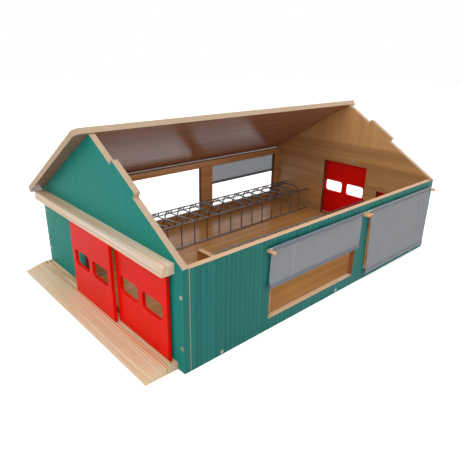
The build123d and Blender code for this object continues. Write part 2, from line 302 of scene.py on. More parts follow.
def lighter(base, share, lift=0.0):
    return [min(c * share + lift, 1.0) for c in base]


def cladding(name, base, axis, contrast, gloss, grooved=False):
    """Green foil with streaks that run down the board. axis is the one that the face runs along."""
    f = Finish(name)
    place = f.place()
    streak = f.cloud(along_grain(place, axis, 150.0, 1.2), 1.0, 3.0, 0.55)
    fine = f.cloud(along_grain(place, axis, 620.0, 1.2), 1.0, 2.0, 0.6)
    broad = f.cloud(place, 7.0, 2.0)
    fleck = f.cloud(place, 900.0, 2.0)
    deep, bright = darker(base, 1 - 0.20 * contrast), lighter(base, 1 + 0.16 * contrast)
    tint = f.mix(streak.ramp(0.30, 0.70), deep, bright)
    tint = f.mix(fine.ramp(0.42, 0.72) * (0.4 * contrast), tint, lighter(base, 1.25, 0.012))
    tint = f.mix(broad.ramp(0.35, 0.7) * 0.15, tint, darker(base, 0.85))
    if grooved:
        pitches = (place.split()[0] - at(GROOVE_FIRST, 0, 0).x) / (GROOVE_PITCH * MM)
        from_groove = ((pitches + 0.5).fraction() - 0.5).size()
        # A darker line along each groove: painted shade in the groove's hollow.
        tint = f.mix(from_groove.ramp(0.08, 0.03) * 0.28, tint, darker(base, 0.55))
    return f.done(
        Base_Color=tint,
        Roughness=0.36 + streak * 0.08,
        Specular_IOR_Level=gloss,
        Normal=f.bump(streak * 0.5 + fine * 0.3 + fleck * 0.12, 0.10, 0.0004),
    )


def veneer(name, base, axis, contrast=1.0, roughness=0.34):
    """Brown lacquered veneer with its grain along one axis."""
    f = Finish(name)
    place = f.place()
    figure = f.cloud(along_grain(place, axis, 2.4, 85.0), 1.0, 4.0, 0.55, 0.35)
    lines = f.cloud(along_grain(place, axis, 5.0, 520.0), 1.0, 3.0, 0.6)
    pores = f.cloud(along_grain(place, axis, 34.0, 1500.0), 1.0, 2.0, 0.6)
    broad = f.cloud(along_grain(place, axis, 3.0, 11.0), 1.0, 2.0)
    deep, bright = darker(base, 1 - 0.24 * contrast), lighter(base, 1 + 0.20 * contrast)
    tint = f.mix(figure.ramp(0.28, 0.72), deep, bright)
    tint = f.mix(lines.ramp(0.50, 0.70) * (0.42 * contrast), tint, darker(base, 0.58))
    tint = f.mix(pores.ramp(0.55, 0.70) * 0.30, tint, darker(base, 0.50))
    ruddy = [base[0] * 1.18, base[1] * 1.02, base[2] * 0.85]
    tint = f.mix(broad.ramp(0.3, 0.7) * 0.28, tint, ruddy)
    return f.done(
        Base_Color=tint,
        Roughness=roughness + pores * 0.10,
        Specular_IOR_Level=0.5,
        Normal=f.bump(pores * 0.5 + lines * 0.4, 0.12, 0.0003),
    )


def raw_edge(name, base):
    """The cut edge of a pressed board: flat tan with fine chips."""
    f = Finish(name)
    place = f.place()
    chips = f.cloud(place, 1200.0, 3.0, 0.65)
    soft = f.cloud(place, 60.0, 2.0)
    tint = f.mix(chips.ramp(0.34, 0.68), darker(base, 0.90), lighter(base, 1.07))
    tint = f.mix(soft.ramp(0.35, 0.7) * 0.3, tint, darker(base, 0.88))
    return f.done(
        Base_Color=tint, Roughness=0.78, Specular_IOR_Level=0.25, Normal=f.bump(chips, 0.25, 0.0002)
    )


def pine(name, pale, ring, lean, streak_at):
    """Planed pine that runs along y: straight growth lines, fine fibres and one resin streak.

    ring is the spacing of the lines, lean how much they tilt with height, and streak_at the
    distance from the middle of the barn at which the streak runs.
    """
    late = bpy.context.scene.barn_look.pine_late
    f = Finish(name)
    place = f.place()
    x, y, z = place.split()
    sway = f.cloud(along_grain(place, 1, 3.0, 9.0), 1.0, 2.0, 0.5)
    crowd = f.cloud(along_grain(place, 1, 0.6, 150.0), 1.0, 2.0, 0.5)
    fibre = f.cloud(along_grain(place, 1, 9.0, 620.0), 1.0, 3.0, 0.6)
    hair = f.cloud(along_grain(place, 1, 4.0, 1300.0), 1.0, 2.0, 0.6)
    across = x.size() + z * lean + (sway - 0.5) * 0.012
    phase = ((across + crowd * 0.004) / ring).fraction()
    late_wood = phase.ramp(0.40, 0.86) * phase.ramp(1.0, 0.93) * crowd.ramp(0.34, 0.56)
    resin = (across - streak_at).size().ramp(0.0013, 0.0004)
    blush = f.cloud(along_grain(place, 1, 4.0, 40.0), 1.0, 2.0)
    tint = f.mix(fibre.ramp(0.3, 0.7), darker(pale, 0.84), lighter(pale, 1.05))
    tint = f.mix(blush.ramp(0.42, 0.70) * 0.30, tint, [late[0], late[1] * 1.35, late[2] * 1.5])
    tint = f.mix(hair.ramp(0.52, 0.70) * 0.35, tint, darker(late, 0.9))
    tint = f.mix(late_wood * 0.85, tint, late)
    tint = f.mix(resin * 0.85, tint, [late[0] * 1.1, late[1] * 0.85, late[2] * 0.5])
    return f.done(
        Base_Color=tint,
        Roughness=0.55 + fibre * 0.12,
        Specular_IOR_Level=0.3,
        Normal=f.bump(late_wood * 0.4 + fibre * 0.4, 0.14, 0.0003),
    )


def gloss_paint(name, base):
    """Gloss paint with a faint orange peel."""
    f = Finish(name)
    place = f.place()
    peel = f.cloud(place, 240.0, 2.0, 0.5)
    soft = f.cloud(place, 14.0, 2.0)
    tint = f.mix(soft.ramp(0.3, 0.7), darker(base, 0.93), lighter(base, 1.06))
    return f.done(
        Base_Color=tint,
        Roughness=0.26 + peel * 0.06,
        Specular_IOR_Level=0.10,
        Normal=f.bump(peel.ramp(0.15, 0.85), 0.06, 0.0004),
    )


def dowel_wood(name, base, axis):
    """Turned beech with its grain along the peg."""
    f = Finish(name)
    place = f.place()
    grain = f.cloud(along_grain(place, axis, 60.0, 1100.0), 1.0, 3.0, 0.6)
    tint = f.mix(grain.ramp(0.3, 0.72), darker(base, 0.78), lighter(base, 1.1))
    return f.done(
        Base_Color=tint,
        Roughness=0.5 + grain * 0.1,
        Specular_IOR_Level=0.3,
        Normal=f.bump(grain, 0.2, 0.0002),
    )


def metal(name, base, roughness):
    """Drawn wire or plated steel with faint dulling."""
    f = Finish(name)
    place = f.place()
    dull = f.cloud(place, 240.0, 3.0, 0.6)
    tint = f.mix(dull.ramp(0.3, 0.75), darker(base, 0.8), lighter(base, 1.12))
    return f.done(
        Base_Color=tint,
        Metallic=1.0,
        Roughness=roughness + dull * 0.18,
        Normal=f.bump(dull, 0.05, 0.0002),
    )


def woven(name, base, thread):
    """Plain-woven curtain cloth that lets some light through.

    Its "hem" attribute is up to 1 on the denser, bluer hems and on the wound-up roll, where that
    tone is painted shade, and below 0 along a crease or an edge, where it paints a pale highlight.
    """
    hem = bpy.context.scene.barn_look.hem
    f = Finish(name)
    cut = f.node("ShaderNodeUVMap", {"uv_map": "cut"}, {})
    hem_and_painted_light = f.node("ShaderNodeAttribute", {"attribute_name": "hem"}, {}, "Fac")
    across, down = ((value * (TURN / 2 / thread)).sine() for value in cut.split()[:2])
    over = across * across * (1 - down * down) + down * down * (1 - across * across)
    weft = f.cloud(cut.stretch(120.0, 1800.0, 1.0), 1.0, 2.0)
    warp = f.cloud(cut.stretch(1800.0, 120.0, 1.0), 1.0, 2.0)
    slub = weft + warp
    soft = f.cloud(cut, 38.0, 3.0)
    tint = f.mix(over, darker(base, 0.86), lighter(base, 1.06))
    tint = f.mix(slub.ramp(0.75, 1.30) * 0.40, tint, lighter(base, 1.24))
    tint = f.mix(soft.ramp(0.35, 0.7) * 0.30, tint, darker(base, 0.78))
    tint = f.mix(hem_and_painted_light.ramp(0.0, 1.0), tint, hem)
    # Below 0 the cloth is paled: a painted highlight along a crease or an edge.
    tint = f.mix(hem_and_painted_light.ramp(0.0, -1.0), tint, lighter(base, 1.45))
    front = f.surface(
        Base_Color=tint,
        Roughness=0.85,
        Specular_IOR_Level=0.2,
        Sheen_Weight=0.08,
        Normal=f.bump(over, 0.25, 0.00012),
    )
    glow = f.mix(0.7, tint, (0.90, 0.96, 1.0))
    through = f.node("ShaderNodeBsdfTranslucent", {}, {"Color": glow})
    return f.shown(f.node("ShaderNodeMixShader", {}, {0: 0.5, 1: front, 2: through}))


# ---- meshes


def node_copy(node):
    """A CAD node's shape as whole faces, ready to shape."""
    bm = bmesh.new()
    bm.from_mesh(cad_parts[node].data)
    bmesh.ops.remove_doubles(bm, verts=bm.verts, dist=1e-6)
    bmesh.ops.dissolve_limit(
        bm, angle_limit=math.radians(0.6), verts=bm.verts, edges=bm.edges, delimit=set()
    )
    return bm


def soften(bm, width, segments=2, sharp=28.0, keep=None):
    """Rounds the sharp edges, except those that keep picks."""
    limit = math.radians(sharp)
    edges = [e for e in bm.edges if len(e.link_faces) == 2 and e.calc_face_angle(0) > limit]
    if keep:
        edges = [e for e in edges if not keep(e)]
    bmesh.ops.bevel(
        bm,
        geom=edges,
        offset=width,
        offset_type="OFFSET",
        affect="EDGES",
        segments=segments,
        profile=0.5,
        material=-1,
        clamp_overlap=False,
    )


def rim_of_hole(edge):
    """Whether an edge is one of the short ones round a screw seat, peg hole or wire seat."""
    low = max(v.co.z for v in edge.verts) < (SHELL_SIDE - 1) * MM
    return low and edge.calc_length() < SEAT_EDGE * MM


def piece(bm, name, body, materials, nodes, sharp):
    """Makes an object of a bmesh, finishes it and sets it on its body, if it has one yet."""
    mesh = bpy.data.meshes.new(name)
    bm.to_mesh(mesh)
    bm.free()
    for material in materials:
        mesh.materials.append(material)
    mesh.shade_smooth()
    mesh.set_sharp_from_angle(angle=math.radians(sharp))
    obj = bpy.data.objects.new(name, mesh)
    bpy.context.scene.collection.objects.link(obj)
    if body:
        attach(obj, body)
    if nodes:
        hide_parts(*nodes)
    return obj


def cut_grooves(bm, outward, rounding):
    """Presses the cladding's V grooves into the face that looks outward and its rounded edges."""
    first = at(GROOVE_FIRST, 0, 0).x
    level = max(v.co.dot(outward) for v in bm.verts)
    for i in range(int((SHELL_LENGTH - BOARD - GROOVE_FIRST) / GROOVE_PITCH) + 1):
        middle = first + i * GROOVE_PITCH * MM
        for side in (-0.5, 0.5, 0):
            plane = middle + side * GROOVE_WIDTH * MM
            geom = {f for f in bm.faces if f.normal.dot(outward) > 0.2}
            geom |= {g for f in geom for g in (*f.edges, *f.verts)}
            made = bmesh.ops.bisect_plane(
                bm, geom=list(geom), dist=1e-7, plane_co=X * plane, plane_no=X
            )
        bottom = {v for g in made["geom_cut"] if isinstance(g, bmesh.types.BMEdge) for v in g.verts}
        for vert in bottom:
            set_back = (level - vert.co.dot(outward)) / rounding
            vert.co -= outward * GROOVE_DEPTH * MM * max(1 - set_back, 0)


def screw(bm, place, inward, length):
    """A countersunk screw with a cross recess, its head flush at place, driven in along inward."""
    cell = SCREW_HEAD * MM * RECESS_ARM
    made = bmesh.ops.create_grid(bm, x_segments=5, y_segments=5, size=2.5 * cell)
    verts = set(made["verts"])
    edges = {e for v in verts for e in v.link_edges}
    rim = [e for e in edges if len(e.link_faces) == 1]
    cross = []
    for face in {f for v in verts for f in v.link_faces}:
        x, y = sorted(abs(c) for c in face.calc_center_median()[:2])
        if x < cell / 2 and y < cell * 1.5:
            cross.append(face)
    made = bmesh.ops.extrude_face_region(bm, geom=cross)
    floor = [g for g in made["geom"] if isinstance(g, bmesh.types.BMVert)]
    bmesh.ops.delete(bm, geom=cross, context="FACES_KEEP_BOUNDARY")
    bmesh.ops.scale(bm, vec=(RECESS_FLOOR, RECESS_FLOOR, 1), verts=floor)
    bmesh.ops.translate(bm, vec=-Z * SCREW_HEAD_DEPTH * MM * RECESS_DEPTH, verts=floor)
    verts.update(floor)
    for depth, radius in (
        (0, SCREW_HEAD),
        (SCREW_HEAD_DEPTH, SCREW_SHANK),
        (length - SHANKS_IN_TAPER * SCREW_SHANK, SCREW_SHANK),
        (length, SCREW_TIP),
    ):
        made = bmesh.ops.extrude_edge_only(bm, edges=rim)
        rim = [g for g in made["geom"] if isinstance(g, bmesh.types.BMEdge)]
        for vert in {v for e in rim for v in e.verts}:
            out = vert.co.to_2d().normalized() * radius * MM
            vert.co = (*out, -depth * MM)
            verts.add(vert)
    bmesh.ops.edgeloop_fill(bm, edges=rim)
    turn = (-inward).to_track_quat("Z", "Y").to_matrix().to_4x4()
    bmesh.ops.transform(bm, matrix=Matrix.Translation(place) @ turn, verts=list(verts))


def arc(centre, radius, start, end, steps, shrink=0.0):
    """Points (off the wall, up) round a centre, from start to end in turns, nearer by shrink."""
    off, up = centre
    points = []
    for i in range(steps + 1):
        turn = (start + (end - start) * i / steps) * TURN
        reach = radius - shrink * i / steps
        points.append((off + reach * math.cos(turn), up + reach * math.sin(turn)))
    return points


def run_down(start, end):
    """Points from start down to end, in rows."""
    rows = max(round(math.dist(start, end) / ROW_STEP), 1)
    return [tuple(a + (b - a) * i / rows for a, b in zip(start, end)) for i in range(1, rows)]


def top_hem():
    """The cloth's path from its turned-in end, over the rod and down to the stitching."""
    low = ROD_HEIGHT + HEM_RADIUS - HEM_DEPTH
    over = arc((CLOTH_OFF_WALL, ROD_HEIGHT), HEM_RADIUS, 0.5, 0.0, HEM_STEPS)
    return [(HEM_TURNED, low - HEM_TURN_IN), (HEM_TURNED, low), *over, (STITCH, low)]


def bottom_hem(bar_height):
    """The path from the stitching, round under the bar and up to the turned-in end."""
    high = bar_height - HEM_RADIUS + HEM_DEPTH
    under = arc((CLOTH_OFF_WALL, bar_height), HEM_RADIUS, 0.0, -0.5, HEM_STEPS)
    return [(STITCH, high), *under, (HEM_TURNED, high), (HEM_TURNED, high + HEM_TURN_IN)]


def bottom_roll(bar_height):
    """The path down the outside of the roll, then under it and round and round to the bar."""
    turns = (ROLL_RADIUS - ROD_RADIUS - HEM_SLACK) / ROLL_PITCH
    steps = round(turns * ROLL_STEPS)
    return arc((CLOTH_OFF_WALL, bar_height), ROLL_RADIUS, 0.0, -turns, steps, turns * ROLL_PITCH)


def hang(path, span, wall, drift, folds, banded):
    """A bmesh of cloth that follows a path down from the rod, with its flat cut as its UV map.

    span is the first and last x, wall the wall's y and the outward side, drift(share, up) how far
    a point hangs along the wall, folds(x, up) how far it stands out, and banded(x, up) how much
    of the hem's look it has, which on a roll is painted shade, or below 0 how much painted
    highlight.
    """
    reach = [0.0]
    for one, other in zip(path, path[1:]):
        reach.append(reach[-1] + math.dist(one, other))
    left, right = span
    columns, rows = round((right - left) / COLUMN_STEP), len(path) - 1
    bm = bmesh.new()
    bmesh.ops.create_grid(bm, x_segments=columns, y_segments=rows, size=0.5)
    cut = bm.loops.layers.uv.new("cut")
    hem = bm.verts.layers.float.new("hem")
    for face in bm.faces:
        for loop in face.loops:
            row = round((loop.vert.co.y + 0.5) * rows)
            loop[cut].uv = ((loop.vert.co.x + 0.5) * (right - left) * MM, reach[row] * MM)
    wall_y, side = wall
    for vert in bm.verts:
        off, up = path[round((vert.co.y + 0.5) * rows)]
        share = vert.co.x + 0.5
        x = left + share * (right - left)
        vert[hem] = banded(x, up)
        vert.co = at(x + drift(share, up), wall_y + side * (off + folds(x, up)), up)
    if side > 0:
        bmesh.ops.reverse_faces(bm, faces=bm.faces)
    return bm, reach[-1] * MM


def bell(value, middle, width):
    return math.exp(-(((value - middle) / width) ** 2))


def share_of(value, whole):
    """How much of the whole a value is, between none and all."""
    return min(max(value / whole, 0), 1)


# The finishes, made once when they are first asked for: how each is made, its name, its tone in
# the settings, and the rest of what its maker takes
FINISHES = {
    # The long walls, the roof's top and the gables' side edges take the darker long tone: the
    # gables' green foil with painted shade.
    "cladding_x": (cladding, "green_foil_long", "cladding_long", 0, 1.0, 0.32, True),
    "cladding_end": (cladding, "green_foil_end", "cladding_long", 0, 0.5, 0.32),
    "cladding_y": (cladding, "green_foil_gable", "cladding_gable", 1, 0.35, 0.15),
    "floor": (veneer, "veneer_floor", "floor", 0, 1.0, 0.24),
    "wall": (veneer, "veneer_wall", "wall", 0),
    "roof": (veneer, "veneer_roof", "roof", 0, 0.8, 0.18),
    "gable": (veneer, "veneer_gable", "gable", 1),
    "gable_top": (veneer, "veneer_gable_top", "gable_top", 2, 0.6),
    "edge_roof": (raw_edge, "board_edge_roof", "edge_roof"),
    "edge_pale": (raw_edge, "board_edge_pale", "edge_pale"),
    # The brown and the dark edge are the same cut board as the pale edge, darkened with painted
    # shade for reveals and edges that sit in shadow.
    "edge_brown": (raw_edge, "board_edge_brown", "edge_brown"),
    "edge_dark": (raw_edge, "board_edge_dark", "edge_dark"),
    "pine_rail": (pine, "pine_rail", "pine_rail", 0.0036, 0.55, 0.3900),
    "pine_ramp": (pine, "pine_ramp", "pine_ramp", 0.0031, -0.10, 0.3158),
    "red": (gloss_paint, "red_gloss", "red"),
    "peg": (dowel_wood, "peg_beech", "peg", 1),
    "wire": (metal, "fence_wire", "wire", 0.34),
    "screw": (metal, "screw_plating", "screw", 0.28),
    "rod": (metal, "curtain_rod", "rod", 0.4),
    "cloth": (woven, "curtain_cloth", "cloth", 0.0007),
}
finishes = {}


def finish(key):
    """The material of that name."""
    if key not in finishes:
        maker, name, tone_name, *rest = FINISHES[key]
        finishes[key] = maker(name, getattr(bpy.context.scene.barn_look, tone_name), *rest)
    return finishes[key]


# Which finish each face of a board has, from its normal n and its centre p in millimetres


def front_wall_faces(n, p):
    if n.y < -FACING:
        return "cladding_x" if p.x > BOARD + RAW_LINE else "edge_pale"
    if n.y > FACING:
        return "wall"
    # Upright window edges are darkened with painted shade; the sills and the top stay pale.
    return "edge_brown" if abs(n.x) > LEANING else "edge_pale"


def back_wall_faces(n, p):
    if abs(n.y) > FACING:
        return "cladding_x" if n.y > 0 else "wall"
    # The back wall's top under the roof, and its window edges and ends, are darkened with painted
    # shade.
    return "edge_brown" if n.z > LEANING and p.z > SHELL_SIDE - 2 else "edge_dark"


def gable_faces(n, p, outward):
    if n.x * outward > FACING:
        return "cladding_y"
    if n.x * outward < -FACING:
        return "gable_top" if outward > 0 and p.z > GRAIN_CHANGE else "gable"
    if abs(n.z) < 0.1 and abs(p.y - SHELL_WIDTH / 2) > SHELL_WIDTH / 2 - 0.5:
        return "cladding_end"
    # The gables' lower edges, the doorway reveals among them, are darkened with painted shade.
    return "edge_roof" if p.z > SHELL_SIDE - 2 else "edge_dark"


def roof_faces(n, p):
    slope = n.dot(Vector((0, math.sin(PITCH), math.cos(PITCH))))
    return "cladding_x" if slope > FACING else "roof" if slope < -FACING else "edge_roof"


def floor_faces(n, p):
    return "floor" if n.z > FACING else "edge_pale"


def partition_faces(n, p):
    return "edge_pale" if n.z > LEANING else "gable"


def board_piece(name, faces, width, cuts=(), grooved=None):
    """One board with its cut edges rounded, its faces finished and its cladding grooved."""
    bm = node_copy(name)
    for place, normal in cuts:
        geom = bm.verts[:] + bm.edges[:] + bm.faces[:]
        bmesh.ops.bisect_plane(bm, geom=geom, dist=1e-7, plane_co=place, plane_no=normal)
    soften(bm, width, keep=rim_of_hole)
    keys = []
    for face in bm.faces:
        centre = face.calc_center_median() / MM
        key = faces(face.normal, centre + Vector((SHELL_LENGTH / 2, SHELL_WIDTH / 2, 0)))
        if key not in keys:
            keys.append(key)
        face.material_index = keys.index(key)
    if grooved:
        cut_grooves(bm, grooved, width)
    body = "roof" if name == "roof_panel" else "barn"
    materials = [finish(key) for key in keys]
    piece(bm, name + "_board", body, materials, [name], BOARD_SHARP)


def wire(bm, points, bends, radius, sides, steps):
    """Round wire along straight runs joined by bends of so many steps, closed at both ends."""
    points = [Vector(p) for p in points]
    heading = (points[1] - points[0]).normalized()
    turn = heading.to_track_quat("Z", "Y").to_matrix().to_4x4()
    start = Matrix.Translation(points[0]) @ turn
    made = bmesh.ops.create_circle(bm, cap_ends=True, segments=sides, radius=radius, matrix=start)
    cap = made["verts"][0].link_faces[0]
    here = points[0]
    for i, corner in enumerate(points[1:]):
        last = i == len(points) - 2
        if last:
            target = corner
        else:
            onward = (points[i + 2] - corner).normalized()
            angle = heading.angle(onward)
            target = corner - heading * (bends[i] * math.tan(angle / 2))
        made = bmesh.ops.extrude_face_region(bm, geom=[cap])
        cap = next(g for g in made["geom"] if isinstance(g, bmesh.types.BMFace))
        bmesh.ops.translate(bm, vec=target - here, verts=cap.verts)
        here = target
        if not last:
            axis = heading.cross(onward).normalized()
            centre = here + axis.cross(heading) * bends[i]
            made = bmesh.ops.spin(
                bm,
                geom=[cap],
                cent=centre,
                axis=axis,
                angle=angle,
                steps=steps,
                use_duplicate=False,
            )
            cap = next(g for g in made["geom_last"] if isinstance(g, bmesh.types.BMFace))
            here = corner + onward * (bends[i] * math.tan(angle / 2))
            heading = onward


def straight(bm, start, end, radius, sides):
    wire(bm, [start, end], [], radius, sides, 0)


def weld(bm, x, places, radius):
    """A small bead at each (y, z) place at which two wires are welded."""
    for y, z in places:
        start = Matrix.Translation(at(x, y, z))
        bmesh.ops.create_icosphere(bm, subdivisions=2, radius=radius * BEAD_TO_WIRE, matrix=start)


def post(bm, x, ends, radius):
    """A short wire between two (y, z) places."""
    straight(bm, *(at(x, y, z) for y, z in ends), radius, POST_SIDES)


def rails(places, radius, first=WIRE_FROM):
    """A bmesh of wires that run along the barn at some (y, z) places."""
    bm = bmesh.new()
    for y, z in places:
        straight(bm, at(first, y, z), at(WIRE_TO, y, z), radius, RAIL_SIDES)
    return bm


def repeat(bm, count, step):
    """Copies everything in the bmesh along a step."""
    first = bm.verts[:] + bm.edges[:] + bm.faces[:]
    for i in range(1, count):
        made = bmesh.ops.duplicate(bm, geom=first)
        verts = [g for g in made["geom"] if isinstance(g, bmesh.types.BMVert)]
        bmesh.ops.translate(bm, vec=step * i, verts=verts)


# ---- settings


def tone(name, code, description):
    return FloatVectorProperty(
        name=name, description=description, default=colour(code), subtype="COLOR", min=0, max=1
    )


def millimetres(name, size, description):
    return FloatProperty(name=name, description=description, default=size * MM, unit="LENGTH")


def watts(name, power, description):
    return FloatProperty(name=name, description=description, default=power, unit="POWER")


def angle(name, degrees, description):
    return FloatProperty(
        name=name, description=description, default=math.radians(degrees), subtype="ANGLE"
    )


class BarnLook(bpy.types.PropertyGroup):
    """Colours of the barn's finishes."""

    cladding_gable: tone("Gable cladding", "00877A", "Green foil on the gables")
    # The same green foil as the gables, darker: painted shade on the faces that look along y.
    cladding_long: tone("Long cladding", "006F67", "Green foil on the long walls and the roof")
    floor: tone("Floor", "C48E52", "Brown veneer on the floor")
    wall: tone("Wall veneer", "CC965E", "Brown veneer on the walls' inner faces")
    gable: tone("Gable veneer", "C0925C", "Brown veneer on the gables' inner faces")
    gable_top: tone("Gable top", "D6A870", "Paler upright veneer at the top of the far gable")
    roof: tone("Roof veneer", "986A54", "Brown veneer under the roof")
    edge_pale: tone("Bare edge", "E2BC98", "Cut edges of the walls and the floor")
    edge_roof: tone("Bare roof edge", "C8AE92", "Cut edges of the roof and the gables' slopes")
    # The brown and dark edge tones are the bare edge darkened with painted shade.
    edge_brown: tone("Brown edge", "A0653A", "Upright edges of the front windows")
    edge_dark: tone("Dark edge", "6E4230", "Edges of the back windows and the doorways")
    pine_rail: tone("Rail pine", "F4E4D4", "Pale wood of the rails")
    pine_ramp: tone("Ramp pine", "F0DEC0", "Pale wood of the ramps")
    pine_late: tone("Pine rings", "DDA265", "Darker growth lines of the rails and ramps")
    red: tone("Door paint", "EE1002", "Gloss paint of the sliding doors")
    peg: tone("Pegs", "F0B480", "Beech of the curtain pegs")
    wire: tone("Wire", "84888E", "Drawn wire of the fences")
    rod: tone("Rods", "C4C7C9", "Steel of the curtain rods")
    screw: tone("Screws", "D4D1CA", "Plating of the screws")
    cloth: tone("Curtains", "AEB1B6", "Woven cloth of the curtains")
    hem: tone("Hems", "989CA7", "Doubled cloth of the hems")


class BarnSizes(bpy.types.PropertyGroup):
    """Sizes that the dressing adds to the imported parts."""

    board_round: millimetres("Board edge rounding", 0.35, "Rounding of the boards' cut edges")
    pine_round: millimetres("Pine rounding", 0.2, "Rounding of the rails' and ramps' corners")
    door_round: millimetres("Door rounding", 0.7, "Rounding of the doors' painted edges")
    wire_radius: millimetres("Wire radius", 1.3, "Radius of the fence wire")
    cloth_thickness: millimetres("Cloth thickness", 0.4, "Thickness of the curtain cloth")


class BarnStage(bpy.types.PropertyGroup):
    """Lamps, floor and camera."""

    key_power: watts("Key lamp", 11.0, "Power of the big soft lamp")
    top_power: watts("Top lamp", 12.0, "Power of the soft lamp overhead")
    side_power: watts("Side lamp", 9.0, "Power of the lamp on the right")
    back_power: watts("Back lamp", 9.0, "Power of the lamp behind the barn")
    sky: FloatProperty(
        name="Surrounding light", description="Strength of the even light", default=0.68
    )
    lens: FloatProperty(
        name="Lens", description="Focal length of the camera", default=35.27, unit="CAMERA"
    )
    azimuth: angle("Azimuth", 42.468, "Camera direction round the barn")
    elevation: angle("Elevation", 21.73, "Camera height angle")
    roll: angle("Roll", 0.96, "Camera roll")


# ---- operators


class BARN_OT_boards(bpy.types.Operator):
    """Finish the floor, walls, gables, roof and partition"""

    bl_idname = "barn.boards"
    bl_label = "Boards"

    def execute(self, context):
        width = context.scene.barn_sizes.board_round
        raw_line = [(at(BOARD + RAW_LINE, 0, 0), X)]
        change = [(at(0, 0, GRAIN_CHANGE), Z)]
        board_piece("front_wall", front_wall_faces, width, raw_line, -Y)
        board_piece("back_wall", back_wall_faces, width, (), Y)
        board_piece("door_gable", lambda n, p: gable_faces(n, p, -1), width)
        board_piece("far_gable", lambda n, p: gable_faces(n, p, 1), width, change)
        board_piece("roof_panel", roof_faces, width)
        board_piece("floor_board", floor_faces, width)
        board_piece("pen_partition", partition_faces, width)
        return {"FINISHED"}


class BARN_OT_rails(bpy.types.Operator):
    """Finish the pine rails and ramps"""

    bl_idname = "barn.rails"
    bl_label = "Rails and ramps"

    def execute(self, context):
        width = context.scene.barn_sizes.pine_round
        for node, key in (
            ("door_rail", "pine_rail"),
            ("far_door_rail", "pine_rail"),
            ("far_small_door_rail", "pine_rail"),
            ("door_ramp", "pine_ramp"),
            ("far_ramp", "pine_ramp"),
        ):
            bm = node_copy(node)
            soften(bm, width, 3)
            piece(bm, node + "_wood", "barn", [finish(key)], [node], BOARD_SHARP)
        return {"FINISHED"}


class BARN_OT_doors(bpy.types.Operator):
    """Finish the painted sliding doors"""

    bl_idname = "barn.doors"
    bl_label = "Doors"

    def execute(self, context):
        width = context.scene.barn_sizes.door_round
        for node in ("left_door", "right_door", "far_large_door", "far_small_door"):
            bm = node_copy(node)
            soften(bm, width, 3, 40.0)
            piece(bm, node + "_panel", node, [finish("red")], [node], BOARD_SHARP)
        return {"FINISHED"}


class BARN_OT_pegs(bpy.types.Operator):
    """Turn the curtain pegs"""

    bl_idname = "barn.pegs"
    bl_label = "Curtain pegs"

    def execute(self, context):
        for node, xs, face_y, side in (
            ("front_curtain_pegs", FRONT_PEGS, 0.0, -1),
            ("back_curtain_pegs", BACK_PEGS, SHELL_WIDTH, 1),
        ):
            bm = bmesh.new()
            for x in xs:
                foot = at(x, face_y - side * PEG_DEEP, PEG_HEIGHT)
                end = at(x, face_y + side * PEG_PROUD, PEG_HEIGHT)
                straight(bm, foot, end, PEG_RADIUS * MM, PEG_SIDES)
            soften(bm, PEG_ROUND * MM, 3, 50.0)
            piece(bm, node + "_turned", "barn", [finish("peg")], [node], TURNED_SHARP)
        return {"FINISHED"}


class BARN_OT_fences(bpy.types.Operator):
    """Bend and weld the wire fences"""

    bl_idname = "barn.fences"
    bl_label = "Wire fences"

    def execute(self, context):
        radius = context.scene.barn_sizes.wire_radius
        fence = [(FENCE_Y, FENCE_BOTTOM), (FENCE_Y, FENCE_TOP)]
        self.wires(rails(fence, radius), "cubicle_fence_rail_wires", "cubicle_fence_rails")

        bm = bmesh.new()
        post(bm, FENCE_FIRST, fence, radius)
        weld(bm, FENCE_FIRST, fence, radius)
        repeat(bm, FENCE_POSTS, X * FENCE_PITCH * MM)
        self.wires(bm, "cubicle_fence_post_wires", "cubicle_fence_posts")

        bm = bmesh.new()
        line = [at(DIVIDER_FIRST, y, z) for y, z in DIVIDER_LINE]
        wire(bm, line, [b * MM for b in DIVIDER_BENDS], radius, POST_SIDES, BEND_STEPS)
        weld(bm, DIVIDER_FIRST, HEAD_RAILS, radius)
        repeat(bm, DIVIDERS, X * DIVIDER_PITCH * MM)
        self.wires(bm, "cubicle_divider_wires", "cubicle_dividers")

        self.wires(rails(HEAD_RAILS, radius), "head_rail_wires", "head_rails")

        bm = bmesh.new()
        post(bm, DIVIDER_FIRST + LINK_OFFSET, HEAD_RAILS, radius)
        weld(bm, DIVIDER_FIRST + LINK_OFFSET, HEAD_RAILS, radius)
        repeat(bm, DIVIDERS, X * DIVIDER_PITCH * MM)
        self.wires(bm, "head_rail_link_wires", "head_rail_links")

        pen = [(PEN_Y, FLOOR_SEAT), (PEN_Y, PEN_HEIGHT)]
        self.wires(rails(pen[1:], radius, PEN_START), "pen_fence_rail_wire", "pen_fence_rail")

        bm = bmesh.new()
        for x in [PEN_FIRST + i * PEN_PITCH for i in range(PEN_POSTS)] + [PEN_END]:
            post(bm, x, pen, radius)
            weld(bm, x, pen[1:], radius)
        self.wires(bm, "pen_fence_post_wires", "pen_fence_posts")
        return {"FINISHED"}

    def wires(self, bm, name, node):
        """Makes one node's wires a piece."""
        piece(bm, name, "barn", [finish("wire")], [node], WIRE_SHARP)


